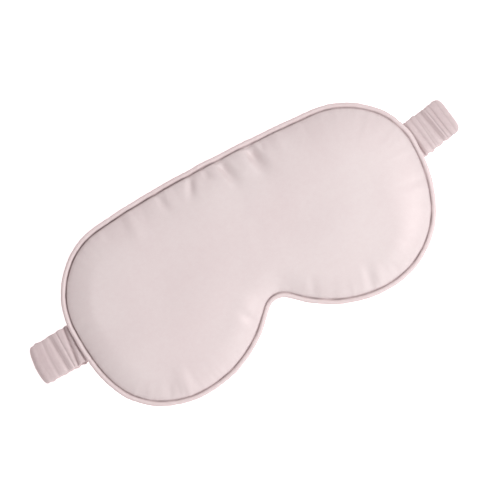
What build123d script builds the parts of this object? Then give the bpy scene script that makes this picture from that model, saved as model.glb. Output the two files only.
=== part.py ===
"""A padded satin sleep mask with a piped edge and a gathered elastic strap folded flat behind it.

The mask lies face up on its strap. +X runs along the mask, +Y points to the forehead edge and +Z
out of the front. The origin is on the floor under the middle of the mask. Units are millimetres.
"""

import os
from math import cos, radians, sin

from build123d import *

# Outer edge of the piping: tangent arcs from the middle of the forehead edge round to the nose notch.
TOP_Y = 53.8
CROWN_R, CROWN_TURN = 690.0, 5.4
TEMPLE_R, TEMPLE_TURN = 44.6, 80.0
SIDE_R = 74.6
CHEEK_R, CHEEK_TURN = 47.1, 67.2
LOBE_R, LOBE_TURN = 67.0, 43.8
NOTCH_R = 8.0
SIDE_TURN = 180 - CROWN_TURN - TEMPLE_TURN - CHEEK_TURN

# Strap: gathered satin tube over flat elastic, at its relaxed length.
STRAP_W, STRAP_T = 22.0, 3.0
ELASTIC_W, ELASTIC_T = 18.0, 1.1
POCKET_W, POCKET_T = 18.6, 1.3  # room for the elastic inside the tube
STRAP_Y = 5.7
STRAP_TILT = 1.5  # degrees: the strap is sewn in a little off level
FOLD_GAP = 0.6  # between the two layers of a folded end

# Heights in the stack, from the floor up.
BAND_Z = STRAP_T / 2
FOLD_Z = STRAP_T + FOLD_GAP / 2
STUB_Z = STRAP_T + FOLD_GAP + STRAP_T / 2
PIPING_D, CORD_D = 2.6, 1.8
EDGE_Z = STUB_Z + STRAP_T / 2 + 0.1 + PIPING_D / 2  # the piping clears the strap by 0.1
BACK_Z = STRAP_T + 0.4
FRONT_Z = 15.0

# Distances along the strap from its middle, on each side.
REAR_JOINT, SIDE_JOINT = 42.0, 84.0
FOLD_AT = 126.0
SEAM_AT = 102.4
TAIL_END = 94.0
JOINT_GAP = 0.4  # each run stops this short of a joint
MIDDLE_GAP = 0.8  # the loop's open pivot, on each side

# Cloth and thread.
SILK_T = 0.3
LINING_T = 0.4
FLANGE_T, FLANGE_DEPTH = 0.5, 5.0
THREAD_D = 0.35
PANEL_INSET = PIPING_D + 0.1
FRONT_ROUND, BACK_ROUND = 6.2, 3.3
STITCH_INSET = PANEL_INSET + SILK_T + 0.5
TAIL_T, TAIL_Z = 2.0, STUB_Z + 0.2
TACK_ROW_GAP = 2.4
TACK_COUNT, TACK_LENGTH, TACK_PITCH = 7, 1.8, 2.6

SIDES = {"left": -1, "right": 1}


def draw_edge(inset):
    """Draws the mask's edge, set in from the piping's outside, into the open BuildLine."""
    crown = JernArc((0, TOP_Y - inset), (1, 0), CROWN_R - inset, -CROWN_TURN)
    temple = JernArc(crown @ 1, crown % 1, TEMPLE_R - inset, -TEMPLE_TURN)
    side = JernArc(temple @ 1, temple % 1, SIDE_R - inset, -SIDE_TURN)
    cheek = JernArc(side @ 1, side % 1, CHEEK_R - inset, -CHEEK_TURN)
    lobe = JernArc(cheek @ 1, cheek % 1, LOBE_R - inset, -LOBE_TURN)
    notch_r = NOTCH_R + inset
    slope = radians(LOBE_TURN)
    flank_length = ((lobe @ 1).X - notch_r * sin(slope)) / cos(slope)
    flank = Line(lobe @ 1, (lobe @ 1) + (lobe % 1) * flank_length)
    JernArc(flank @ 1, flank % 1, notch_r, LOBE_TURN)
    mirror(about=Plane.YZ)


def pad(inset, low, high, top_round=0.0, bottom_round=0.0):
    """A slab of the mask's shape, with its top or bottom edge rounded over."""
    with BuildPart() as slab:
        with BuildSketch(Plane.XY.offset(low)):
            with BuildLine():
                draw_edge(inset)
            make_face()
        extrude(amount=high - low)
        if top_round:
            fillet(slab.faces().sort_by(Axis.Z)[-1].edges(), top_round)
        if bottom_round:
            fillet(slab.faces().sort_by(Axis.Z)[0].edges(), bottom_round)
    return slab.part


def edge_ring(inset, height, outer_d, inner_d=0.0):
    """A round cord, or a tube, that follows the mask's edge all the way round."""
    with BuildPart() as ring:
        with BuildLine(Plane.XY.offset(height)) as path:
            draw_edge(inset)
        start = Plane(origin=(0, TOP_Y - inset, height), z_dir=(1, 0, 0))
        with BuildSketch(start):
            Circle(outer_d / 2)
            if inner_d:
                Circle(inner_d / 2, mode=Mode.SUBTRACT)
        sweep(path=path.wires()[0])
    return ring.part


def along_strap(distance, height):
    """The plane square to the strap at a distance from its middle."""
    tilt = radians(STRAP_TILT)
    return Plane(
        origin=(distance * cos(tilt), STRAP_Y + distance * sin(tilt), height),
        x_dir=(-sin(tilt), cos(tilt), 0),
        z_dir=(cos(tilt), sin(tilt), 0),
    )


def draw_cover(thickness):
    """The strap cover's section: a flat tube round its pocket."""
    RectangleRounded(STRAP_W, thickness, 0.45 * thickness)
    RectangleRounded(POCKET_W, POCKET_T, 0.3, mode=Mode.SUBTRACT)


def draw_elastic():
    """The elastic's section."""
    RectangleRounded(ELASTIC_W, ELASTIC_T, 0.25)


def cover_run(near, far, height, thickness=STRAP_T):
    """A straight run of the gathered tube between two distances along the strap."""
    with BuildPart() as run:
        with BuildSketch(along_strap(near, height)):
            draw_cover(thickness)
        extrude(amount=far - near)
    return run.part


def elastic_run(near, far, height):
    """A straight run of the elastic between two distances along the strap."""
    with BuildPart() as run:
        with BuildSketch(along_strap(near, height)):
            draw_elastic()
        extrude(amount=far - near)
    return run.part


def fold_axis(side):
    """The line that a folded strap end turns about, so that positive is round its outside."""
    plane = along_strap(side * FOLD_AT, FOLD_Z)
    return Axis(plane.origin, plane.x_dir * side)


def strap_slot(side, low, high, clearance=0.3):
    """The space that a strap tail takes up in the back of the mask."""
    near, far = side * (TAIL_END - clearance), side * (SEAM_AT + 2)
    with BuildPart() as slot:
        with BuildSketch(along_strap(near, (low + high) / 2)):
            Rectangle(STRAP_W + 2 * clearance, high - low)
        extrude(amount=far - near)
    return slot.part


def save(part, name):
    """Writes one piece as its own file."""
    part.label = name
    export_step(part, f"parts/{name}.step")


os.makedirs("parts", exist_ok=True)

# Front panel: one piece of satin, domed over the padding.
front_outside = pad(PANEL_INSET, EDGE_Z + 0.3, FRONT_Z, top_round=FRONT_ROUND)
front_inside = pad(PANEL_INSET + SILK_T, EDGE_Z + 0.3, FRONT_Z - SILK_T, top_round=FRONT_ROUND - SILK_T)
with BuildPart() as front_panel:
    add(front_outside)
    add(front_inside, mode=Mode.SUBTRACT)
save(front_panel.part, "front_panel")

# Back panel: the skin side, with a slit in the seam on each side for the strap.
back_outside = pad(PANEL_INSET, BACK_Z, EDGE_Z - 0.3, bottom_round=BACK_ROUND)
back_inside = pad(PANEL_INSET + SILK_T, BACK_Z + SILK_T, EDGE_Z - 0.3, bottom_round=BACK_ROUND - SILK_T)
slits = [strap_slot(side, TAIL_Z - TAIL_T / 2 - 0.2, EDGE_Z) for side in SIDES.values()]
with BuildPart() as back_panel:
    add(back_outside)
    add(back_inside, mode=Mode.SUBTRACT)
    for slit in slits:
        add(slit, mode=Mode.SUBTRACT)
save(back_panel.part, "back_panel")

# Padding and lining between the panels.
WADDING_INSET = PANEL_INSET + SILK_T + 0.1
LINING_Z = EDGE_Z - 1.2
wadding_low = EDGE_Z + FLANGE_T / 2 + THREAD_D + 0.15
front_loft = pad(WADDING_INSET, wadding_low, FRONT_Z - SILK_T - 0.05, top_round=FRONT_ROUND - 0.5)
front_core = pad(PIPING_D + FLANGE_DEPTH + 1, LINING_Z + LINING_T + 0.05, wadding_low)
with BuildPart() as front_wadding:
    add(front_loft)
    add(front_core)
save(front_wadding.part, "front_wadding")

blackout_lining = pad(WADDING_INSET, LINING_Z, LINING_Z + LINING_T)
save(blackout_lining, "blackout_lining")

back_loft = pad(WADDING_INSET, BACK_Z + SILK_T + 0.05, LINING_Z - 0.05, bottom_round=2.9)
with BuildPart() as back_wadding:
    add(back_loft)
    for slit in slits:
        add(slit, mode=Mode.SUBTRACT)
save(back_wadding.part, "back_wadding")

# Piping: a cord in a folded bias strip, whose flange is caught in the seam.
piping_cord = edge_ring(PIPING_D / 2, EDGE_Z, CORD_D)
save(piping_cord, "piping_cord")

piping_tube = edge_ring(PIPING_D / 2, EDGE_Z, PIPING_D, CORD_D + 0.04)
flange_low, flange_high = EDGE_Z - FLANGE_T / 2, EDGE_Z + FLANGE_T / 2
flange_outside = pad(PIPING_D - 0.3, flange_low, flange_high)
flange_inside = pad(PIPING_D + FLANGE_DEPTH, flange_low, flange_high)
with BuildPart() as piping_cover:
    add(piping_tube)
    add(flange_outside)
    add(flange_inside, mode=Mode.SUBTRACT)
save(piping_cover.part, "piping_cover")

# Perimeter seam: a needle thread above the flange and a bobbin thread below it.
thread_rise = FLANGE_T / 2 + THREAD_D / 2 + 0.03
seam_threads = [
    edge_ring(STITCH_INSET, EDGE_Z + rise, THREAD_D) for rise in (thread_rise, -thread_rise)
]
save(Compound(children=seam_threads), "seam_thread")

for name, side in SIDES.items():
    # Tail: the flattened strap end, caught in the seam between flange and back panel.
    tail = side * TAIL_END, side * (SEAM_AT - 0.2)
    save(cover_run(*tail, TAIL_Z, TAIL_T), f"strap_cover_{name}_tail")
    save(elastic_run(*tail, TAIL_Z), f"strap_elastic_{name}_tail")

    # Two rows of tacking stitches hold the tail down.
    tack_plane = along_strap(side * (TAIL_END + 3.2), TAIL_Z + TAIL_T / 2 + THREAD_D / 2 + 0.03)
    with BuildPart() as tack:
        with Locations(tack_plane):
            with GridLocations(TACK_PITCH, 0, TACK_COUNT, 1):
                with Locations((0, 0, -TACK_ROW_GAP / 2), (0, 0, TACK_ROW_GAP / 2)):
                    Cylinder(THREAD_D / 2, TACK_LENGTH, rotation=(0, 90, 0))
    save(tack.part, f"strap_tack_{name}")

    # Runs of the strap, one for each stretch between its joints.
    runs = {
        "stub": (SEAM_AT, FOLD_AT, STUB_Z),
        "side": (FOLD_AT - JOINT_GAP, SIDE_JOINT + JOINT_GAP, BAND_Z),
        "rear": (SIDE_JOINT - JOINT_GAP, REAR_JOINT + JOINT_GAP, BAND_Z),
        "middle": (REAR_JOINT - JOINT_GAP, MIDDLE_GAP, BAND_Z),
    }
    for run, (near, far, height) in runs.items():
        save(cover_run(side * near, side * far, height), f"strap_cover_{name}_{run}")
        save(elastic_run(side * near, side * far, height), f"strap_elastic_{name}_{run}")

    # Fold: the half turn that brings the strap back under the mask.
    with BuildPart() as cover_fold:
        with BuildSketch(along_strap(side * FOLD_AT, STUB_Z)):
            draw_cover(STRAP_T)
        revolve(axis=fold_axis(side), revolution_arc=180)
    save(cover_fold.part, f"strap_cover_{name}_fold")
    with BuildPart() as elastic_fold:
        with BuildSketch(along_strap(side * FOLD_AT, STUB_Z)):
            draw_elastic()
        revolve(axis=fold_axis(side), revolution_arc=180)
    save(elastic_fold.part, f"strap_elastic_{name}_fold")
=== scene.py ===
"""Looks of a padded satin sleep mask: piped edge, puckered panels, gathered elastic strap.

Shapes are worked out in millimetres in the part's own frame and turned into metres when a mesh is
made. Every piece of the padded body rides on the body "mask". The strap is one gathered tube, cut
into lengths.
"""
from math import cos, pi, radians, sin, sqrt

import bpy
import numpy as np
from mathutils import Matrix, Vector
from mathutils.geometry import delaunay_2d_cdt


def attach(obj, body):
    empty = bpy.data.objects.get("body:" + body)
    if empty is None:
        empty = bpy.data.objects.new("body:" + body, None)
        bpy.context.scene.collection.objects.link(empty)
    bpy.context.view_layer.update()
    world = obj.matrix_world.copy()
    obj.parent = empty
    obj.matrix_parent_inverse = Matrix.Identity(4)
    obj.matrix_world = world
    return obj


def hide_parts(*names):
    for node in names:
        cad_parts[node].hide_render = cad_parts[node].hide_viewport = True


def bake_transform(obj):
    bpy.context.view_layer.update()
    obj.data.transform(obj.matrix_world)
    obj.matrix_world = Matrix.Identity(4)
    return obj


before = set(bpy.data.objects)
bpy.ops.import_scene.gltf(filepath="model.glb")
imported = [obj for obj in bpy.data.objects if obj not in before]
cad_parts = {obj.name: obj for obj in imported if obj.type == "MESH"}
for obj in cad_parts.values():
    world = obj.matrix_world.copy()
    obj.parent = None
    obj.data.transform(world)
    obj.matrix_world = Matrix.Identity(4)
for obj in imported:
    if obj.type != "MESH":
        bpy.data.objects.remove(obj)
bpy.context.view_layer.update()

MM = 0.001

# ---------------------------------------------------------------- sizes, as in the part's source
TOP_Y = 53.8
EDGE_ARCS = ((690.0, 5.4), (44.6, 80.0), (74.6, 27.4), (47.1, 67.2), (67.0, 43.8))  # radius, turn
NOTCH_R, NOTCH_TURN = 8.0, 43.8
STRAP_Y, STRAP_TILT = 5.7, radians(1.5)
SEAM_AT, FOLD_AT, TAIL_END = 102.4, 126.0, 94.0
SIDE_JOINT, REAR_JOINT = 84.0, 42.0
BAND_Z, FOLD_Z, STUB_Z, TAIL_Z = 1.5, 3.3, 5.1, 5.3
EDGE_Z = 8.0
PIPING_R, CORD_R = 1.3, 0.9
SATIN_T = 0.25

SIDES = {"left": -1, "right": 1}


# ---------------------------------------------------------------- small maths
def smooth(x):
    """0 below 0, 1 above 1, and an S-curve between."""
    x = np.clip(x, 0, 1)
    return x * x * (3 - 2 * x)


def ripple(x, y, wavelength, seed):
    """Irregular waves over a surface, mostly from -1 to 1."""
    draw = np.random.default_rng(seed)
    total = 0
    for _ in range(7):
        heading, phase = draw.uniform(0, 2 * pi, 2)
        turns = 2 * pi / (wavelength * draw.uniform(0.7, 1.5))
        total = total + np.sin(turns * (x * cos(heading) + y * sin(heading)) + phase)
    return total / sqrt(7)


def edge_ripple(s, wavelength, seed):
    """Irregular waves along the mask's edge, which meet themselves after one round."""
    draw = np.random.default_rng(seed)
    total = 0
    for _ in range(9):
        count = round(PERIMETER / (wavelength * draw.uniform(0.7, 1.5)))
        total = total + np.sin(2 * pi * count * s / PERIMETER + draw.uniform(0, 2 * pi))
    return total / 3


def from_place(s, place):
    """How far each distance along the mask's edge is past a place on it, the shorter way round."""
    return (s - place + PERIMETER / 2) % PERIMETER - PERIMETER / 2


# ---------------------------------------------------------------- the mask's outline
def half_outline(inset, step):
    """Points down the right half of the edge, from the middle of the top to the notch, and each point's
    distance along the outer edge."""
    x, y, heading, travelled = 0.0, TOP_Y - inset, 0.0, 0.0
    points, along = [], []

    def arc(radius, turn, true_radius):
        """Adds an arc that turns clockwise, or the other way where its radius is negative."""
        nonlocal x, y, heading, travelled
        count = max(2, round(abs(true_radius) * turn / step))
        centre_x, centre_y = x + radius * sin(heading), y - radius * cos(heading)
        for i in range(count):
            h = heading - turn * i / count * (1 if radius > 0 else -1)
            points.append((centre_x - radius * sin(h), centre_y + radius * cos(h)))
            along.append(travelled + abs(true_radius) * turn * i / count)
        heading -= turn * (1 if radius > 0 else -1)
        x, y = centre_x - radius * sin(heading), centre_y + radius * cos(heading)
        travelled += abs(true_radius) * turn

    for radius, turn in EDGE_ARCS:
        arc(radius - inset, radians(turn), radius)
    notch = NOTCH_R + inset
    slope = radians(NOTCH_TURN)
    flank = (x - notch * sin(slope)) / cos(slope)
    count = round(flank / step)
    for i in range(count):
        points.append((x + cos(heading) * flank * i / count, y + sin(heading) * flank * i / count))
        along.append(travelled + flank * i / count)
    x, y, travelled = x + cos(heading) * flank, y + sin(heading) * flank, travelled + flank
    arc(-notch, slope, NOTCH_R)
    return np.array(points), np.array(along), np.array((x, y)), travelled


def outline(inset, step):
    """The closed edge, clockwise from the middle of the top, and each point's distance along it."""
    right, along, notch, total = half_outline(inset, step)
    left = right[:0:-1] * (-1, 1)
    points = np.vstack([right, notch, left])
    return points, np.concatenate([along, [total], 2 * total - along[:0:-1]])


def outward_of(loop):
    """The outward direction at each point of a closed loop that runs clockwise."""
    ahead = np.roll(loop, -1, 0) - np.roll(loop, 1, 0)
    ahead /= np.linalg.norm(ahead, axis=1)[:, None]
    return np.column_stack([-ahead[:, 1], ahead[:, 0]])


PERIMETER = 2 * half_outline(0, 1.0)[3]


def strap_line(x):
    """The strap's middle line, as Y for an X."""
    return STRAP_Y + x * np.tan(STRAP_TILT)


# Where the sewing pulled the body off its pattern: X, Y, radius, and the move along X and Y.
SETS = (
    (-105.0, 2.0, 23.0, 2.1, 0.0),
    (-94.0, 36.0, 20.0, 0.8, -0.7),
    (-88.0, -42.0, 20.0, -0.6, -0.6),
    (101.0, 24.0, 28.0, 0.8, 0.3),
    (-38.0, -53.0, 34.0, 0.0, -0.5),
    (38.0, -53.0, 34.0, 0.0, -0.5),
    (0.0, 54.0, 50.0, 0.0, -0.3),
)


def settle(points):
    """The hand-sewn set of the body: its forehead edge drops a little towards the right, and its
    upper and lower edges sag where the strap isn't under them."""
    x, y, z = points.T
    lean = -1.8 * np.sin(np.clip(x / 75, -1, 1) * pi / 2) * smooth(y / 42)
    sag = 1.3 * smooth((np.abs(y - strap_line(x)) - 12) / 42)
    moved = np.column_stack([x, y + lean, z - sag])
    for set_x, set_y, radius, move_x, move_y in SETS:
        share = np.exp(-((x - set_x) ** 2 + (y - set_y) ** 2) / radius**2)
        moved[:, 0] += move_x * share
        moved[:, 1] += move_y * share
    return moved


# ---------------------------------------------------------------- meshes
def make_mesh(name, points, faces):
    mesh = bpy.data.meshes.new(name)
    mesh.from_pydata((points * MM).tolist(), [], faces)
    mesh.shade_smooth()
    return mesh


def mesh_points(mesh):
    """The places of a mesh's points, in millimetres."""
    flat = np.empty(len(mesh.vertices) * 3, np.float32)
    mesh.vertices.foreach_get("co", flat)
    return flat.reshape(-1, 3).astype(float) / MM


def vertex_normals(points, faces):
    mesh = make_mesh("scratch", points, faces)
    normals = np.empty(len(points) * 3, np.float32)
    mesh.vertex_normals.foreach_get("vector", normals)
    bpy.data.meshes.remove(mesh)
    return normals.reshape(-1, 3).astype(float)


def paint_seam_shade(piece, depth):
    """Stores how much painted shade each point takes, from 0 to 1, as the attribute "seam" that the material
    reads.
    """
    layer = piece.data.attributes.new("seam", "FLOAT", "POINT")
    layer.data.foreach_set("value", np.clip(depth, 0, 1).astype(np.float32))


def make_piece(name, points, faces, material, uv=None):
    """A new object of that mesh. uv is one pair of numbers for each point."""
    mesh = make_mesh(name, points, faces)
    if uv is not None:
        layer = mesh.uv_layers.new(name="UVMap")
        corner = np.empty(len(mesh.loops), np.int32)
        mesh.loops.foreach_get("vertex_index", corner)
        layer.data.foreach_set("uv", uv[corner].astype(np.float32).ravel())
    mesh.materials.append(material)
    piece = bpy.data.objects.new(name, mesh)
    bpy.context.scene.collection.objects.link(piece)
    return piece


def ring_faces(rings, count, closed=False):
    """Quads between neighbouring rings of count points each, facing up where the rings run
    clockwise and inwards."""
    faces = []
    for k in range(rings if closed else rings - 1):
        a, b = k * count, (k + 1) % rings * count
        faces += [(a + j, b + j, b + (j + 1) % count, a + (j + 1) % count) for j in range(count)]
    return faces


def thicken(points, faces, thickness, uv=None):
    """Gives a sheet its thickness, on the side away from its faces, and closes its open edges."""
    count = len(points)
    inner = points - vertex_normals(points, faces) * thickness
    edges = {(a, b) for f in faces for a, b in zip(f, f[1:] + f[:1])}
    both = faces + [tuple(i + count for i in reversed(f)) for f in faces]
    both += [(b, a, a + count, b + count) for a, b in sorted(edges) if (b, a) not in edges]
    return np.vstack([points, inner]), both, None if uv is None else np.vstack([uv, uv])


def filled(loop, spacing):
    """Even triangles inside a closed loop: the points, the loop's own first, and the faces."""
    low, high = loop.min(0), loop.max(0)
    rows = np.arange(low[1] + spacing / 2, high[1], spacing * sqrt(3) / 2)
    lines = []
    for i, y in enumerate(rows):
        xs = np.arange(low[0] + (i % 2) * spacing / 2, high[0], spacing)
        lines.append(np.column_stack([xs, np.full(len(xs), y)]))
    grid = np.vstack(lines)
    after = np.roll(loop, -1, 0)
    inside = np.zeros(len(grid), bool)
    for (ax, ay), (bx, by) in zip(loop, after):
        if ay != by:
            crosses = (ay > grid[:, 1]) != (by > grid[:, 1])
            inside ^= crosses & (grid[:, 0] < (bx - ax) * (grid[:, 1] - ay) / (by - ay) + ax)
    grid = grid[inside]
    grid = grid[nearest(loop, grid)[1] > 0.7 * spacing]
    points = np.vstack([loop, grid])
    edges = [(i, (i + 1) % len(loop)) for i in range(len(loop))]
    made = delaunay_2d_cdt([Vector(p) for p in points], edges, [], 1, 1e-7)
    return np.array([tuple(v) for v in made[0]]), [tuple(f) for f in made[2]]


def nearest(loop, points):
    """For each point, the index of the nearest point of the loop and the distance to it."""
    index, distance = np.empty(len(points), int), np.empty(len(points))
    for start in range(0, len(points), 2000):
        part = points[start:start + 2000]
        gap = np.hypot(part[:, None, 0] - loop[None, :, 0], part[:, None, 1] - loop[None, :, 1])
        index[start:start + 2000] = gap.argmin(1)
        distance[start:start + 2000] = gap.min(1)
    return index, distance


def pad_surface(profile, step, spacing, top):
    """A panel's surface: rings that follow the profile's (inset, height) pairs from the seam inwards,
    then even triangles. Returns points, faces, distance along the edge and inset of each point."""
    rings, s_rings, inset_rings = [], [], []
    for inset, height in profile:
        loop, along = outline(inset, step)
        rings.append(np.column_stack([loop, np.full(len(loop), height)]))
        s_rings.append(along)
        inset_rings.append(np.full(len(loop), inset))
    count = len(rings[0])
    faces = ring_faces(len(rings), count)
    last_inset = profile[-1][0]
    inner, inner_faces = filled(rings[-1][:, :2], spacing)
    extra = inner[count:]
    index, gap = nearest(rings[-1][:, :2], extra)
    first = (len(rings) - 1) * count
    faces += [tuple(first + i for i in f) for f in inner_faces]
    points = np.vstack(rings + [np.column_stack([extra, np.full(len(extra), top)])])
    s = np.concatenate(s_rings + [s_rings[-1][index]])
    inset = np.concatenate(inset_rings + [last_inset + gap])
    return points, faces, s, inset


DRAPE_SCALE = 10.0  # the cloth solver is steadier on a larger model
DRAPE_FRAMES = 24
DRAPE_REACH = 2.6  # how far a point may move, in millimetres
DRAPE_PRESSURE = 0.4
DRAPE_BENDING = 1.2  # how stiff the cloth is against bending


def drape(points, faces, pinned, growth, freedom):
    """Lets a panel settle as cloth, held where pinned is 1 and cut larger where growth is above 0.
    freedom is the share of its move that each point keeps, where the padding under it lets go."""
    piece = bpy.data.objects.new("drape", make_mesh("drape", points * DRAPE_SCALE, faces))
    scene = bpy.context.scene
    scene.collection.objects.link(piece)
    for name, weights in (("held", pinned), ("spare", growth / max(growth.max(), 1e-6))):
        group = piece.vertex_groups.new(name=name)
        for i in np.nonzero(weights > 0.01)[0]:
            group.add([int(i)], float(weights[i]), "REPLACE")
    cloth = piece.modifiers.new("Cloth", "CLOTH")
    settings = cloth.settings
    settings.quality = 6
    settings.mass = 0.15
    settings.tension_stiffness = 30
    settings.compression_stiffness = 30
    settings.shear_stiffness = 6
    settings.bending_stiffness = DRAPE_BENDING
    settings.tension_damping = 8
    settings.compression_damping = 8
    settings.shear_damping = 8
    settings.bending_damping = 1
    settings.air_damping = 4
    settings.vertex_group_mass = "held"
    settings.vertex_group_shrink = "spare"
    settings.shrink_min = 0
    settings.shrink_max = -float(growth.max())
    settings.use_pressure = True
    settings.uniform_pressure_force = DRAPE_PRESSURE
    settings.effector_weights.gravity = 0
    cloth.collision_settings.use_collision = False
    cloth.point_cache.frame_start = 1
    cloth.point_cache.frame_end = DRAPE_FRAMES
    for frame_number in range(1, DRAPE_FRAMES + 1):
        scene.frame_set(frame_number)
    settled = piece.evaluated_get(bpy.context.evaluated_depsgraph_get()).to_mesh()
    after = mesh_points(settled) / DRAPE_SCALE
    bpy.data.objects.remove(piece)
    scene.frame_set(1)
    move = after - points
    length = np.linalg.norm(move, axis=1)
    move *= (freedom * np.minimum(length, DRAPE_REACH) / np.maximum(length, 1e-9))[:, None]
    return points + move


def subdivided(points, faces):
    """The mesh after one round of Catmull-Clark subdivision."""
    piece = bpy.data.objects.new("subdivided", make_mesh("subdivided", points, faces))
    bpy.context.scene.collection.objects.link(piece)
    rounds = piece.modifiers.new("Subdivision", "SUBSURF")
    rounds.levels = 1
    rounds.boundary_smooth = "PRESERVE_CORNERS"
    finer = piece.evaluated_get(bpy.context.evaluated_depsgraph_get()).to_mesh()
    finer_points = mesh_points(finer)
    finer_faces = [tuple(f.vertices) for f in finer.polygons]
    bpy.data.objects.remove(piece)
    return finer_points, finer_faces


# ---------------------------------------------------------------- relief of the panels
# Puckers that run in from the seam: distance along the edge from the middle of the top (the mask's
# right is positive), lean, length, height, and width before and after the crest. Heights below 0
# are creases.
PUCKER_DEPTH = 1.6  # multiplies their heights
PUCKERS_FROM = 2.75  # the inset at which they start
FRONT_PUCKERS = (
    (-46.0, -0.10, 24.0, 0.50, 7.0, 6.0),
    (-38.5, -0.10, 14.0, -0.40, 2.0, 6.0),
    (-28.5, 0.12, 15.0, -1.05, 2.2, 5.0),
    (-19.0, 0.00, 9.0, -0.35, 1.6, 3.0),
    (-8.0, -0.45, 15.0, -1.35, 2.4, 6.0),
    (0.0, 0.10, 9.0, -1.10, 1.8, 4.2),
    (8.6, 0.22, 21.0, -2.20, 2.8, 7.5),
    (20.0, 0.20, 18.0, 0.45, 6.0, 5.0),
    (25.8, 0.15, 21.0, -2.60, 3.0, 8.0),
    (33.4, 0.10, 8.0, -0.80, 1.4, 3.4),
    (42.0, 0.15, 16.0, 0.35, 6.0, 8.0),
    (58.0, 0.10, 11.0, -0.25, 2.5, 5.0),
    (-62.0, -0.10, 11.0, -0.25, 2.5, 5.0),
    (-210.0, 0.25, 22.0, 0.40, 9.0, 8.0),
    (-199.0, 0.10, 13.0, -0.25, 3.0, 7.0),
    (229.0, -0.20, 18.0, -0.38, 6.0, 5.0),
    (222.0, 0.00, 15.0, 0.24, 6.0, 6.0),
    (210.0, 0.00, 10.0, -0.25, 2.4, 4.4),
    (150.0, 0.10, 9.0, -0.25, 2.5, 4.5),
    (-128.0, 0.00, 10.0, -0.25, 2.6, 4.6),
    (262.0, 0.20, 15.0, -0.35, 4.6, 4.6),
    (-266.0, -0.20, 16.0, -0.35, 4.6, 4.6),
)
# Soft dimples of the padding: X, Y, radius, depth.
FRONT_DIMPLES = (
    (-11.0, -17.0, 6.5, 0.38),
    (-22.0, -19.0, 6.0, 0.24),
    (6.5, -21.0, 6.0, 0.34),
    (30.0, 26.0, 9.0, 0.30),
    (-60.0, 14.0, 15.0, 0.22),
    (62.0, -6.0, 16.0, 0.20),
)


def puckers(s, inside, rows):
    """Height of a row of puckers at a distance along the edge and a distance in from the seam."""
    total = np.zeros(len(s))
    for start, lean, length, height, before, after in rows:
        across = from_place(s, start + lean * inside)
        width = np.where(across < 0, before, after) * (0.75 + 0.4 * smooth(inside / length))
        along = (0.30 + 0.70 * smooth(inside / 4)) * (1 - smooth((inside / length - 0.25) / 0.75))
        total += height * (1 - smooth(np.abs(across) / width)) * along
    return total


def front_crown(inset):
    """How much higher the front is in its middle."""
    return 0.75 * smooth((inset - PUCKERS_FROM) / 34)


def front_relief(points, s, inset):
    """Height of the front over its plain slope: puckers, dimples, ease in the seam, and loft."""
    x, y = points[:, 0], points[:, 1]
    inside = np.clip(inset - PUCKERS_FROM, 0, None)
    total = PUCKER_DEPTH * puckers(s, inside, FRONT_PUCKERS)
    for dimple_x, dimple_y, radius, depth in FRONT_DIMPLES:
        total -= depth * np.exp(-((x - dimple_x) ** 2 + (y - dimple_y) ** 2) / radius**2)
    at_top = smooth((y - 25) / 20) * smooth((75 - np.abs(x)) / 25)
    ease = edge_ripple(s, 9.0, 12) * (0.06 + 0.06 * at_top) * np.exp(-inside / 7.0) * smooth(inside / 0.8)
    loft = 0.22 * ripple(x, y, 46, 13) * smooth(inside / 14)
    return total + ease + loft + front_crown(inset)


def shoulder(seam, width, rise, power, steps):
    """A padded panel's profile up from the seam to its flat middle, as (inset, height) pairs. A power
    of 2 is a quarter of an ellipse, and less than that is straighter."""
    profile = []
    for i in range(steps + 1):
        a = radians(90) * i / steps
        inset = seam[0] + width * (1 - cos(a) ** (2 / power))
        profile.append((inset, seam[1] + rise * sin(a) ** (2 / power)))
    return profile


# ---------------------------------------------------------------- materials
def new_material(name):
    material = bpy.data.materials.new(name)
    material.use_nodes = True
    return material, material.node_tree.nodes, material.node_tree.links


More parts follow.
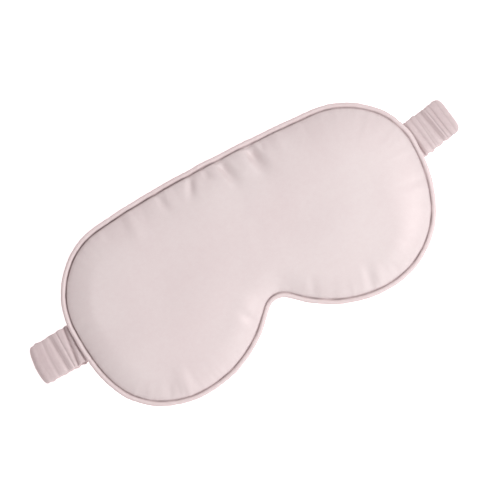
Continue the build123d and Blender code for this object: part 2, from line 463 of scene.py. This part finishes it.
def cloth_material(name, colour, shade, roughness=0.45, sheen=0.3, bump=0.25, thread=0.28, grain=5.0,
                   use_uv=False, specular=0.45, seam=None):
    """Woven cloth. colour and shade are the lighter and the darker tone, which noise mixes at random;
    thread is the pitch of the weave in millimetres, and grain how much longer its floats are than
    they are wide. seam is the dark tone of painted shade, which the cloth takes down in its seams
    and creases where the mesh's attribute "seam" is 1."""
    material, nodes, links = new_material(name)
    shader = nodes["Principled BSDF"]
    shader.inputs["Roughness"].default_value = roughness
    shader.inputs["Sheen Weight"].default_value = sheen
    shader.inputs["Sheen Roughness"].default_value = 0.35
    shader.inputs["Sheen Tint"].default_value = (1.0, 0.74, 0.75, 1)
    shader.inputs["Specular Tint"].default_value = (1.0, 0.84, 0.85, 1)
    shader.inputs["Specular IOR Level"].default_value = specular
    place = nodes.new("ShaderNodeTexCoord").outputs["UV" if use_uv else "Object"]

    def noise(scale, detail):
        mapping = nodes.new("ShaderNodeMapping")
        mapping.inputs["Scale"].default_value = scale
        links.new(place, mapping.inputs["Vector"])
        node = nodes.new("ShaderNodeTexNoise")
        node.inputs["Scale"].default_value = 1.0
        node.inputs["Detail"].default_value = detail
        links.new(mapping.outputs["Vector"], node.inputs["Vector"])
        return node.outputs["Fac"]

    pitch = 1 / (thread * MM)
    broad = noise((24, 24, 24), 3)
    fine = noise((420, 420, 420), 2)
    floats = noise((pitch / grain, pitch, pitch), 2)
    cross = noise((pitch * 0.8, pitch / grain / 2, pitch), 1)

    def mixed(a, b, share):
        node = nodes.new("ShaderNodeMix")
        node.inputs["Factor"].default_value = share
        links.new(a, node.inputs["A"])
        links.new(b, node.inputs["B"])
        return node.outputs["Result"]

    ramp = nodes.new("ShaderNodeValToRGB")
    ramp.color_ramp.elements[0].position = 0.30
    ramp.color_ramp.elements[0].color = (*shade, 1)
    ramp.color_ramp.elements[1].position = 0.66
    ramp.color_ramp.elements[1].color = (*colour, 1)
    links.new(mixed(mixed(broad, fine, 0.28), floats, 0.22), ramp.inputs["Fac"])
    tone = ramp.outputs["Color"]
    # Painted shade: the tone is mixed towards the dark seam tone by the mesh's attribute "seam".
    if seam is not None:
        depth = nodes.new("ShaderNodeAttribute")
        depth.attribute_name = "seam"
        seam_shade_mix = nodes.new("ShaderNodeMix")
        seam_shade_mix.data_type = "RGBA"
        links.new(depth.outputs["Fac"], seam_shade_mix.inputs["Factor"])
        links.new(tone, seam_shade_mix.inputs["A"])
        seam_shade_mix.inputs["B"].default_value = (*seam, 1)
        tone = seam_shade_mix.outputs["Result"]
    links.new(tone, shader.inputs["Base Color"])
    weave = nodes.new("ShaderNodeBump")
    weave.inputs["Strength"].default_value = bump
    weave.inputs["Distance"].default_value = 0.06 * MM
    links.new(mixed(floats, cross, 0.4), weave.inputs["Height"])
    links.new(weave.outputs["Normal"], shader.inputs["Normal"])
    return material


# Painted shade: the dark tone that the cloth takes down in its seams and creases.
SEAM_SHADE_TONE = (0.17, 0.10, 0.105)
BLUSH, BLUSH_SHADE = (0.79, 0.727, 0.723), (0.735, 0.648, 0.650)
satin_front = cloth_material("satin front", BLUSH, BLUSH_SHADE, seam=SEAM_SHADE_TONE)
satin_back = cloth_material("satin back", (0.77, 0.675, 0.672), (0.72, 0.605, 0.61), seam=SEAM_SHADE_TONE)
satin_piping = cloth_material("satin piping", (0.82, 0.73, 0.73), (0.74, 0.635, 0.635), use_uv=True,
                              thread=0.35, grain=3.0, bump=0.5, seam=SEAM_SHADE_TONE)
# Painted shade: the strap is the panels' satin, given darker tones for the shade that its ends lie in.
satin_strap = cloth_material("satin strap", (0.70, 0.615, 0.615), (0.58, 0.475, 0.485), use_uv=True,
                             thread=0.3, grain=4.0, bump=0.35, seam=SEAM_SHADE_TONE)
wadding_cloth = cloth_material("wadding", (0.86, 0.85, 0.82), (0.74, 0.73, 0.70), roughness=0.95,
                               sheen=0.5, thread=0.9, grain=1.5, bump=0.9, specular=0.1)
lining_cloth = cloth_material("blackout lining", (0.035, 0.032, 0.036), (0.02, 0.018, 0.02),
                              roughness=0.8, thread=0.5, grain=1.2, bump=0.5, specular=0.2)
elastic_web = cloth_material("elastic web", (0.84, 0.81, 0.78), (0.66, 0.63, 0.60), roughness=0.75,
                             use_uv=True, thread=0.8, grain=6.0, bump=0.9, specular=0.2)
cord_yarn = cloth_material("cord yarn", (0.86, 0.84, 0.79), (0.70, 0.67, 0.62), roughness=0.85,
                           use_uv=True, thread=0.5, grain=2.0, bump=0.8, specular=0.2)
sewing_thread = cloth_material("sewing thread", (0.77, 0.63, 0.62), (0.60, 0.46, 0.46), roughness=0.5,
                               thread=0.12, grain=3.0, bump=0.6)

# ---------------------------------------------------------------- padded body
STEP, SPACING = 1.4, 2.6  # between a panel's points along its edge, and inside its rings
PAD_STEP, PAD_SPACING = 2.4, 4.0


def finish_body_piece(piece, slot_name, *nodes):
    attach(piece, "mask")
    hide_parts(*nodes)
    return piece


def bulge(inset, seam, width, rise, power):
    """Height over an inset from the edge, up from the seam to the flat middle."""
    t = np.clip((inset - seam[0]) / width, 0, 1)
    return seam[1] + rise * (1 - (1 - t) ** power) ** (1 / power)


def near_edge(s, centre, reach):
    """1 at a place along the edge, 0 beyond its reach."""
    return 1 - smooth(np.abs(from_place(s, centre)) / reach)


def edge_place(points):
    """Each point's distance along the edge and its inset, from its place."""
    loop, s = outline(0, 1.0)
    index, gap = nearest(loop, points[:, :2])
    return s[index], gap


# Stretches of the edge: the place at the middle of each, and its reach.
LEFT_TEMPLE, RIGHT_TEMPLE = (-113, 70), (135, 75)

# The seam is (inset, height), the width and rise are the slope's from there to the flat middle, and
# the tuck is the cloth's turned-in edge. The rings are the insets at which the slope has points.
FRONT_SEAM, FRONT_WIDTH, FRONT_RISE, FRONT_POWER = (2.9, 8.5), 14.5, 5.9, 1.9
FRONT_TUCK = [(4.0, 8.13), (3.6, 8.13), (3.25, 8.15), (3.0, 8.28)]
FRONT_RINGS = (2.9, 3.0, 3.3, 3.8, 4.6, 5.6, 6.8, 8.1, 9.5, 11.0, 12.6, 14.3, 16.1, 18.0, 20.2, 22.6, 25.0)


def front_spread(s):
    """How far the front's slope reaches in from the seam: furthest at the right temple."""
    return FRONT_WIDTH - 0.5 * near_edge(s, *LEFT_TEMPLE) + 11.0 * near_edge(s, *RIGHT_TEMPLE)


def front_power(s):
    """How round the front's slope is: flattest in its slant at the left temple."""
    return FRONT_POWER - 0.62 * near_edge(s, *LEFT_TEMPLE)


def padded_panel(name, tuck, ring_insets, seam, rise, spread, power, relief, spare, freedom, material):
    """A cloth panel: its tucked edge, then its bulge from the seam, draped, with its thickness. A
    negative rise makes a panel that faces down."""
    middle = seam[1] + rise
    profile = tuck + [(inset, middle) for inset in ring_insets]
    points, faces, s, inset = pad_surface(profile, STEP, SPACING, middle)
    rings = np.arange(len(points)) // len(outline(0, STEP)[0])
    tucked = rings < len(tuck)
    points[:, 2] = np.where(tucked, points[:, 2], bulge(inset, seam, spread(s), rise, power(s)))
    normals = vertex_normals(points, faces) * (1 if rise > 0 else -1)
    points += np.where(tucked, 0, relief(points, s, inset))[:, None] * normals
    if rise < 0:
        faces = [tuple(reversed(f)) for f in faces]
    held = np.where(rings <= len(tuck), 1.0, 0.0)
    points = drape(points, faces, held, spare(s, inset), freedom(s, inset))
    points, faces = subdivided(points, faces)
    s, inset = edge_place(points)
    stitches = 0.10 * edge_ripple(s, 3.3, 41) * np.exp(-np.clip(inset - 3, 0, None) / 2.5)
    points[:, 2] += np.where(np.abs(points[:, 2] - seam[1]) > 0.3, stitches, 0)
    points, faces, _ = thicken(points, faces, SATIN_T)
    piece = make_piece(name, settle(points), faces, material)
    # Painted shade along the crevice where the panel meets the piping.
    deep = np.exp(-((np.abs(inset - seam[0]) / 0.42) ** 2)) * seam_shade_strength(s)
    paint_seam_shade(piece, np.concatenate([deep, deep]))
    return piece


def seam_shade_strength(s):
    """How strong the painted shade in the seam is: most along the forehead and the left temple."""
    forehead, temple = near_edge(s, -60, 150), near_edge(s, -120, 60)
    return 0.25 + 0.45 * forehead + 0.30 * temple + 0.12 * edge_ripple(s, 12.0, 51)


def front_spare(s, inset):
    """How much larger the front is cut: most along the forehead edge, where it was eased in."""
    return 0.16 * np.exp(-np.clip(inset - 3, 0, None) / 9) * near_edge(s, 8, 95)


def front_freedom(s, inset):
    """How freely the front drapes: most near the forehead edge, and hardly over the padding."""
    return 0.12 + 0.88 * near_edge(s, 8, 105) * np.exp(-((np.clip(inset - 6, 0, None) / 16) ** 2))


def back_spare(s, inset):
    """How much larger the back is cut, a little all along its seam."""
    return 0.05 * np.exp(-np.clip(inset - 3, 0, None) / 8)


def even(value):
    """The same value everywhere, as a function of places on a panel."""
    return lambda s, *inset: np.full(len(s), value)


front_panel = padded_panel("front_panel_satin", FRONT_TUCK, FRONT_RINGS, FRONT_SEAM, FRONT_RISE, front_spread,
                           front_power, front_relief, front_spare, front_freedom, satin_front)
finish_body_piece(front_panel, "satin_front", "front_panel")


def strap_opening(points):
    """1 where a strap end comes out of the seam, 0 away from it."""
    x, y = points[:, 0], points[:, 1]
    return smooth((12.9 - np.abs(y - strap_line(x))) / 2.2) * smooth((np.abs(x) - 90) / 3)


def back_relief(points, s, inset):
    """Height of the back over its plain slope: ease in the seam, and loft."""
    x, y = points[:, 0], points[:, 1]
    inside = np.clip(inset - PUCKERS_FROM, 0, None)
    ease = edge_ripple(s, 10.0, 22) * 0.12 * np.exp(-inside / 7.0) * smooth(inside / 0.8)
    return ease + 0.12 * ripple(x, y, 40, 23) * smooth(inside / 14)


BACK_SEAM, BACK_WIDTH, BACK_RISE, BACK_POWER = (2.8, 7.1), 13.0, -3.6, 2.0
BACK_TUCK = [(4.0, 7.27), (3.6, 7.27), (3.2, 7.26), (2.92, 7.2)]
BACK_RINGS = (2.8, 2.95, 3.3, 3.9, 4.8, 6.0, 7.4, 9.0, 10.8, 12.8, 15.0, 17.5)

back_panel = padded_panel("back_panel_satin", BACK_TUCK, BACK_RINGS, BACK_SEAM, BACK_RISE,
                          even(BACK_WIDTH), even(BACK_POWER), back_relief, back_spare, even(0.5), satin_back)


def press_under_strap(piece, floor):
    """Presses a piece of the back down under the strap ends that lie on it."""
    mesh = piece.data
    points = mesh_points(mesh)
    share = strap_opening(points)
    high = np.clip(points[:, 2] - floor, 0, None)
    points[:, 2] -= share * high * 0.9
    outward = np.clip(np.abs(points[:, 0]) - 100.6, 0, None) * np.sign(points[:, 0])
    points[:, 0] -= share * outward * 0.8
    mesh.vertices.foreach_set("co", (points * MM).astype(np.float32).ravel())
    mesh.update()


press_under_strap(back_panel, 3.9)
finish_body_piece(back_panel, "satin_back", "back_panel")


def pad_piece(name, profile, top, bottom, material, relief=None):
    """A closed pad that fills a panel's profile, over a flat side at the height bottom."""
    points, faces, s, inset = pad_surface(profile, PAD_STEP, PAD_SPACING, top)
    if relief is not None:
        points[:, 2] += relief(points, s, inset)
    count = len(outline(profile[0][0], PAD_STEP)[0])
    under = points.copy()
    under[:, 2] = bottom
    shift = len(points)
    faces = faces + [tuple(i + shift for i in reversed(f)) for f in faces]
    faces += [(j, (j + 1) % count, (j + 1) % count + shift, j + shift) for j in range(count)]
    if top < bottom:
        faces = [tuple(reversed(f)) for f in faces]
    return make_piece(name, settle(np.vstack([points, under])), faces, material)


def loft_relief(points, s, inset):
    """The padding under the front panel: its crown, and hollows under the panel's creases."""
    return np.minimum(front_relief(points, s, inset), front_crown(inset)) - 0.15


FRONT_LOFT, FRONT_LOFT_RISE = (4.4, 8.3), FRONT_RISE - 1.4
loft_profile = shoulder(FRONT_LOFT, FRONT_WIDTH + 8, FRONT_LOFT_RISE, FRONT_POWER, 12)
front_loft = pad_piece("front_wadding_pad", loft_profile, FRONT_LOFT[1] + FRONT_LOFT_RISE, 8.2,
                       wadding_cloth, loft_relief)
finish_body_piece(front_loft, "wadding", "front_wadding")
lining = pad_piece("blackout_lining_sheet", [(4.2, 7.3), (5.2, 7.32)], 7.35, 7.0, lining_cloth)
finish_body_piece(lining, "lining", "blackout_lining")
BACK_LOFT, BACK_LOFT_RISE = (4.2, 6.9), BACK_RISE + 1.0
loft_profile = shoulder(BACK_LOFT, BACK_WIDTH, BACK_LOFT_RISE, BACK_POWER, 10)
back_loft = pad_piece("back_wadding_pad", loft_profile, BACK_LOFT[1] + BACK_LOFT_RISE, BACK_LOFT[1],
                      wadding_cloth)
press_under_strap(back_loft, 4.2)
finish_body_piece(back_loft, "wadding", "back_wadding")


# ---------------------------------------------------------------- piping and its cord
def edge_tube(name, inset, section, material, wander=0.0, seed=0, step=0.6, bulge_of=None):
    """A closed ring with a section of (outward, upward) points, run along the mask's edge."""
    loop, s = outline(inset, step)
    outward = outward_of(loop)
    side = wander * edge_ripple(s, 17.0, seed)
    lift = wander * edge_ripple(s, 23.0, seed + 1)
    rings, uv, deep = [], [], []
    around = 0.0
    for k, (out, high) in enumerate(section):
        if k:
            around += np.hypot(out - section[k - 1][0], high - section[k - 1][1])
        swell = 1 + (0 if bulge_of is None else bulge_of(s, high))
        here = loop + outward * (out * swell + side)[:, None]
        rings.append(np.column_stack([here, EDGE_Z + high * swell + lift]))
        uv.append(np.column_stack([s * MM, np.full(len(s), around * MM)]))
        # Painted shade on the piping's inner side, down in the crevice next to the panel.
        deep.append(np.exp(-(((out + PIPING_R + 0.15) / 0.36) ** 2)) * seam_shade_strength(s) * (high > -0.9))
    faces = ring_faces(len(section), len(loop), closed=True)
    piece = make_piece(name, settle(np.vstack(rings)), faces, material, np.vstack(uv))
    paint_seam_shade(piece, np.concatenate(deep))
    return piece


def piping_section():
    """The bias strip, wrapped round the cord and laid together as a flange: out on its outer face
    and back on its inner one."""
    outer = [radians(154 - 308 * i / 28) for i in range(29)]
    inner = [radians(-158 + 316 * i / 18) for i in range(19)]
    upper = [(-6.0, -0.12), (-4.4, -0.12), (-2.8, -0.12), (-1.9, -0.06), (-1.5, 0.12)]
    lower = [(-1.5, -0.62), (-1.9, -0.50), (-2.8, -0.45), (-4.4, -0.45), (-6.0, -0.45)]
    strip = upper + [(PIPING_R * cos(a), PIPING_R * sin(a)) for a in outer] + lower
    strip += [(-6.0, -0.31), (-4.4, -0.31), (-2.8, -0.31), (-1.6, -0.31)]
    strip += [(CORD_R * 1.06 * cos(a), CORD_R * 1.06 * sin(a)) for a in inner]
    strip += [(-1.6, -0.26), (-2.8, -0.26), (-4.4, -0.26), (-6.0, -0.26)]
    return strip[::-1]


JOIN_AT = -145.5  # where the bias strip's ends are sewn together, below the left strap


def piping_swell(s, high):
    """Small changes in the piping's thickness, and the step where the bias strip is joined."""
    gap = from_place(s, JOIN_AT + 0.6 * high)
    join = 0.10 * np.exp(-((gap + 1.0) / 0.9) ** 2) - 0.16 * np.exp(-((gap / 0.45) ** 2))
    return 0.030 * edge_ripple(s, 6.0, 33) + 0.02 * edge_ripple(s, 2.6, 34) + join


piping = edge_tube("piping_bias_strip", PIPING_R, piping_section(), satin_piping, 0.10, 31,
                   bulge_of=piping_swell)
finish_body_piece(piping, "satin_piping", "piping_cover")
cord_turn = [radians(-30 * i) for i in reversed(range(12))]
cord_circle = [(CORD_R * cos(a), CORD_R * sin(a)) for a in cord_turn]
cord = edge_tube("piping_filler_cord", PIPING_R, cord_circle, cord_yarn, 0.10, 31)
finish_body_piece(cord, "cord", "piping_cord")

# ---------------------------------------------------------------- seam
STITCH, STITCH_INSET, THREAD_R = 2.5, 3.6, 0.16


def stitch_line(sign):
    """One of the seam's two threads: it lies along the flange and dips to meet the other."""
    loop, s = outline(STITCH_INSET, 0.42)
    outward = outward_of(loop)
    count = round(PERIMETER / STITCH)
    phase = np.abs(np.cos(pi * count * s / PERIMETER))
    height = sign * (0.12 + 0.33 * phase**0.4)
    rings = []
    for i in range(6):
        a = radians(60 * i)
        ring = loop + outward * THREAD_R * cos(a)
        rings.append(np.column_stack([ring, EDGE_Z + height + THREAD_R * sin(a)]))
    return np.vstack(rings), ring_faces(6, len(loop), closed=True)


over, over_faces = stitch_line(1)
under, under_faces = stitch_line(-1)
seam = make_piece("perimeter_stitches", settle(np.vstack([over, under])),
                  over_faces + [tuple(i + len(over) for i in f) for f in under_faces], sewing_thread)
finish_body_piece(seam, "thread", "seam_thread")
for name in SIDES:
    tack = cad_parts[f"strap_tack_{name}"]
    tack.data.materials.clear()
    tack.data.materials.append(sewing_thread)

# ---------------------------------------------------------------- strap
FOLD_R = 1.8  # of the strap's middle line where it turns back
TURN = pi * FOLD_R  # the length of that turn
STUB_END = FOLD_AT + TURN + FOLD_AT - SEAM_AT
STRAP_END = STUB_END + SEAM_AT - TAIL_END
MID_STUB = FOLD_AT + TURN + (FOLD_AT - SEAM_AT) / 2
# Single folds of the gathers on each stub's upper face: distance along the strap, lean, width and
# depth. The strap's distances start at its middle and pass the fold at 126.
STUB_FOLDS = {
    "left": (
        (154.2, 0.05, 0.5, 0.9), (151.0, 0.16, 0.8, 1.7), (147.3, 0.04, 0.4, 0.5),
        (143.6, 0.0, 1.4, 0.9), (137.6, 0.02, 1.0, 0.25),
    ),
    "right": (
        (152.0, 0.0, 0.9, 1.7), (147.7, 0.02, 0.8, 0.5), (144.9, -0.03, 0.4, 0.35),
        (140.1, 0.066, 1.15, 1.15), (137.9, 0.05, 0.4, 0.45), (135.5, 0.03, 0.45, 0.6),
        (131.7, 0.0, 0.5, 0.5),
    ),
}


def strap_path(t):
    """The strap's middle line at a distance along it: how far out and how high it is, and its outward
    normal. The first half of the fold turns out and the second half back in."""
    bend = np.clip((t - FOLD_AT) / FOLD_R, 0, pi) - pi / 2
    after = np.clip(t - FOLD_AT - TURN, 0, None)
    out = np.minimum(t, FOLD_AT) + FOLD_R * np.cos(bend) - after
    rise = TAIL_Z - STUB_Z
    high = FOLD_Z + FOLD_R * np.sin(bend) + rise * smooth((t - STUB_END + 3) / 3)
    return out, high, np.cos(bend), np.sin(bend)


# How the sewn-in ends lie: the slope of each against the strap's own line, how far it starts off
# that line, and how much the band under it sits lower.
STRAP_SET = {"left": (-0.005, 0.9, 0.9), "right": (0.088, -0.65, 0.6)}
STRAP_WIDTH = {"left": 21.6, "right": 20.6}
COVER_T, COVER_AROUND = 3.0, 56
ELASTIC_W, ELASTIC_T, ELASTIC_AROUND = 18.0, 0.9, 24
CREASE_SHADE = 0.26  # how much painted shade, in the seam's dark tone, the single folds take


def lay_strap(t, out, across, name):
    """Moves points of the strap off its straight line, from their distance out and across it."""
    slope, start, under = STRAP_SET[name]
    slope *= 1 if name == "right" else -1
    on_stub = smooth((t - FOLD_AT) / TURN)
    fade = np.where(t < FOLD_AT, smooth((t - 60) / 45), 1.0)
    lift = start + slope * (out - 105) - under * (1 - on_stub) * smooth((FOLD_AT - out) / 12)
    moved_out = out - slope * across * fade
    if name == "left":
        moved_out = moved_out - 0.17 * np.clip(across + 0.5, 0, None) * smooth((out - 112) / 14)
    return moved_out, across + lift * fade


def gathers(t, v, seed):
    """Depth of the gathers, from 0 on the crests, at distances along and across the strap."""
    draw = np.random.default_rng(seed)
    drift = 0.35 * ripple(t, v, 14.0, seed + 1) + 0.9 * ripple(t, 0 * v, 9.0, seed + 2)
    pitch = 2.1
    main = np.abs(np.sin(pi * (t / pitch + drift) + draw.uniform(0, pi)))
    small = np.abs(np.sin(pi * (t / 0.95 + 0.8 * ripple(t, v, 6.0, seed + 3))))
    size = 0.55 + 0.45 * ripple(t, v, 8.0, seed + 4)
    return 0.42 * (1 - main**0.8) * np.clip(size, 0.1, 1.2) + 0.10 * (1 - small)


def strap_lengths(name, t0, t1, step, around, width, thickness, is_cover, seed):
    """A stretch of the strap from t0 to t1, as rows of points round it. Returns its points, faces, uv
    and how deep each point is in one of the stub's single folds."""
    side = SIDES[name]
    rows = max(2, round((t1 - t0) / step)) + 1
    t = np.linspace(t0, t1, rows)
    out, high, normal_out, normal_up = strap_path(t)
    on_tail = smooth((t - STUB_END + 1.0) / 2.0)
    turn = np.array([2 * pi * i / around for i in range(around)])
    across = np.sign(np.cos(turn)) * np.abs(np.cos(turn)) ** 0.45
    up = np.sign(np.sin(turn)) * np.abs(np.sin(turn)) ** 0.75
    half = width / 2 - 1.7 * (width / 22) * (1 - np.sqrt(1 - normal_out**2 * 0.98))
    thick = thickness / 2 * (1 - 0.33 * on_tail * is_cover)
    across_grid = half[:, None] * across[None, :]
    up_grid = thick[:, None] * up[None, :]
    crease = np.zeros((rows, around))
    t_grid = np.repeat(t[:, None], around, 1)
    if is_cover:
        outer_face = up[None, :] > 0
        calm = 1 - 0.84 * smooth((t_grid - FOLD_AT) / TURN) ** 2
        outer_depth = gathers(t_grid, across_grid, seed) * calm
        depth = np.where(outer_face, outer_depth, gathers(t_grid, across_grid, seed + 50))
        for at, lean, wide, deep in STUB_FOLDS[name]:
            gap = t_grid - at - lean * across_grid
            crease += np.where(outer_face, deep * np.exp(-(gap / wide) ** 2), 0)
        depth = (depth + crease) * (1 - 0.6 * on_tail)[:, None]
        flat = np.abs(up[None, :]) ** 0.5
        edge = np.abs(across[None, :]) ** 6
        up_grid -= np.sign(up_grid) * np.minimum(depth * flat, np.abs(up_grid) * 0.52)
        ruffle = 0.30 * ripple(t, 0 * t, 3.1, seed + 9)[:, None] - 0.35 * depth
        across_grid += np.sign(across_grid) * ruffle * edge
    distance = out[:, None] + up_grid * normal_out[:, None]
    height = high[:, None] + up_grid * normal_up[:, None]
    distance, across_grid = lay_strap(t_grid, distance, across_grid, name)
    along = np.array([cos(STRAP_TILT), sin(STRAP_TILT)])
    over = np.array([-sin(STRAP_TILT), cos(STRAP_TILT)])
    x = side * distance * along[0] + across_grid * over[0]
    y = STRAP_Y + side * distance * along[1] + across_grid * over[1]
    points = np.stack([x, y, height], -1).reshape(-1, 3)
    uv = np.stack([t_grid * MM, across_grid * MM + up_grid * MM], -1).reshape(-1, 2)
    faces = []
    for k in range(rows - 1):
        a, b = k * around, (k + 1) * around
        for j in range(around):
            quad = (a + j, a + (j + 1) % around, b + (j + 1) % around, b + j)
            faces.append(quad if side < 0 else quad[::-1])
    return points, faces, uv, crease.ravel()


def cover_length(label, name, t0, t1):
    """One length of the gathered tube, with painted shade down in its single folds."""
    width, seed = STRAP_WIDTH[name], 70 + SIDES[name]
    points, faces, uv, crease = strap_lengths(name, t0, t1, 0.3, COVER_AROUND, width, COVER_T, True, seed)
    points, faces, uv = thicken(points, faces, SATIN_T, uv)
    piece = make_piece(f"strap_{name}_cover_{label}", points, faces, satin_strap, uv)
    # Painted shade, stronger where a point lies further down in a single fold.
    paint_seam_shade(piece, CREASE_SHADE * np.concatenate([crease, crease]) ** 2)
    return piece


def elastic_length(label, name, t0, t1):
    """One length of the flat elastic, closed at both its ends."""
    points, faces, uv, _ = strap_lengths(name, t0, t1, 0.9, ELASTIC_AROUND, ELASTIC_W, ELASTIC_T, False, 0)
    first = tuple(range(ELASTIC_AROUND))
    last = tuple(range(len(points) - ELASTIC_AROUND, len(points)))
    ends = [first, last[::-1]] if SIDES[name] > 0 else [first[::-1], last]
    return make_piece(f"strap_{name}_elastic_{label}", points, faces + ends, elastic_web, uv)


BEND = 16.0  # half the length over which the band bends at a joint
# Each length of the strap: where it runs from and to, the two bodies that it joins, where it starts
# and ends to turn from one to the other, as distance out and height, and the nodes it stands for.
LENGTHS = {
    "middle": (
        (0.0, 63.0), ("rear", "middle"),
        (REAR_JOINT + BEND, BAND_Z), (REAR_JOINT - BEND, BAND_Z), ("middle",),
    ),
    "rear": (
        (63.0, 105.0), ("side", "rear"),
        (SIDE_JOINT + BEND, BAND_Z), (SIDE_JOINT - BEND, BAND_Z), ("rear",),
    ),
    "fold": ((105.0, MID_STUB), ("stub", "side"), (FOLD_AT, 3.55), (FOLD_AT, 3.05), ("fold", "side")),
    "root": ((MID_STUB, STRAP_END), ("mask", "stub"), (101.6, 5.0), (104.8, 5.0), ("tail", "stub")),
}
LAYERS = ((cover_length, "cover", "satin_strap"), (elastic_length, "elastic", "elastic"))
for name in SIDES:
    for label, ((t0, t1), joined, start, end, stands_for) in LENGTHS.items():
        for make, layer, slot_name in LAYERS:
            piece = make(label, name, t0, t1)
            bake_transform(piece)
            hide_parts(*(f"strap_{layer}_{name}_{node}" for node in stands_for))

# ---------------------------------------------------------------- floor, light and camera
FLOOR_Z = -0.078  # clear of the strap when it hangs open


def make_floor():
    """A pale floor, lit from within enough that it shows no shadow."""
    mesh = bpy.data.meshes.new("floor")
    half = 3.0
    corners = [(-half, -half, 0), (half, -half, 0), (half, half, 0), (-half, half, 0)]
    mesh.from_pydata(corners, [], [(0, 1, 2, 3)])
    material, nodes, _ = new_material("pale floor")
    shader = nodes["Principled BSDF"]
    shader.inputs["Base Color"].default_value = (0.95, 0.95, 0.95, 1)
    shader.inputs["Roughness"].default_value = 0.9
    shader.inputs["Emission Color"].default_value = (1, 0.93, 0.935, 1)
    shader.inputs["Emission Strength"].default_value = 0.66
    mesh.materials.append(material)
    floor = bpy.data.objects.new("floor", mesh)
    floor.location.z = FLOOR_Z
    bpy.context.scene.collection.objects.link(floor)


def add_area(name, azimuth, rise, distance, size, power):
    """A square lamp that points at the mask, from an azimuth in degrees and a rise for each metre out."""
    data = bpy.data.lights.new(name, "AREA")
    data.size = size
    data.energy = power
    lamp = bpy.data.objects.new(name, data)
    towards = Vector((cos(radians(azimuth)), sin(radians(azimuth)), rise)).normalized()
    lamp.location = towards * distance
    lamp.rotation_mode = "QUATERNION"
    lamp.rotation_quaternion = towards.to_track_quat("Z", "Y")
    bpy.context.scene.collection.objects.link(lamp)


make_floor()
world = bpy.data.worlds.new("studio")
world.use_nodes = True
background = world.node_tree.nodes["Background"]
background.inputs["Color"].default_value = (1, 0.86, 0.866, 1)
background.inputs["Strength"].default_value = 0.35
bpy.context.scene.world = world
bpy.context.scene.view_settings.view_transform = "Standard"
add_area("key", azimuth=-33, rise=1.5, distance=1.6, size=0.40, power=16)
add_area("low", azimuth=-85, rise=0.65, distance=1.7, size=0.7, power=4)
add_area("back", azimuth=100, rise=0.8, distance=1.7, size=0.7, power=4)

ROLL = radians(-30)  # the mask lies at this slant to the camera's frame
VIEW_WIDTH = 0.2645  # what the frame takes in at the height of the piping
CAMERA_UP = 1.6
SENSOR = 36
AIM_RIGHT, AIM_UP = 0.455, 1.0085  # what the frame is centred on, in millimetres from the origin
camera_data = bpy.data.cameras.new("camera")
camera_data.sensor_width = SENSOR
camera_data.lens = SENSOR * CAMERA_UP / VIEW_WIDTH
camera_data.clip_end = 20
camera = bpy.data.objects.new("camera", camera_data)
right, up = Vector((cos(ROLL), sin(ROLL), 0)), Vector((-sin(ROLL), cos(ROLL), 0))
camera.location = right * AIM_RIGHT * MM + up * AIM_UP * MM + Vector((0, 0, EDGE_Z * MM + CAMERA_UP))
camera.rotation_euler = (0, 0, ROLL)
bpy.context.scene.collection.objects.link(camera)
bpy.context.scene.camera = camera
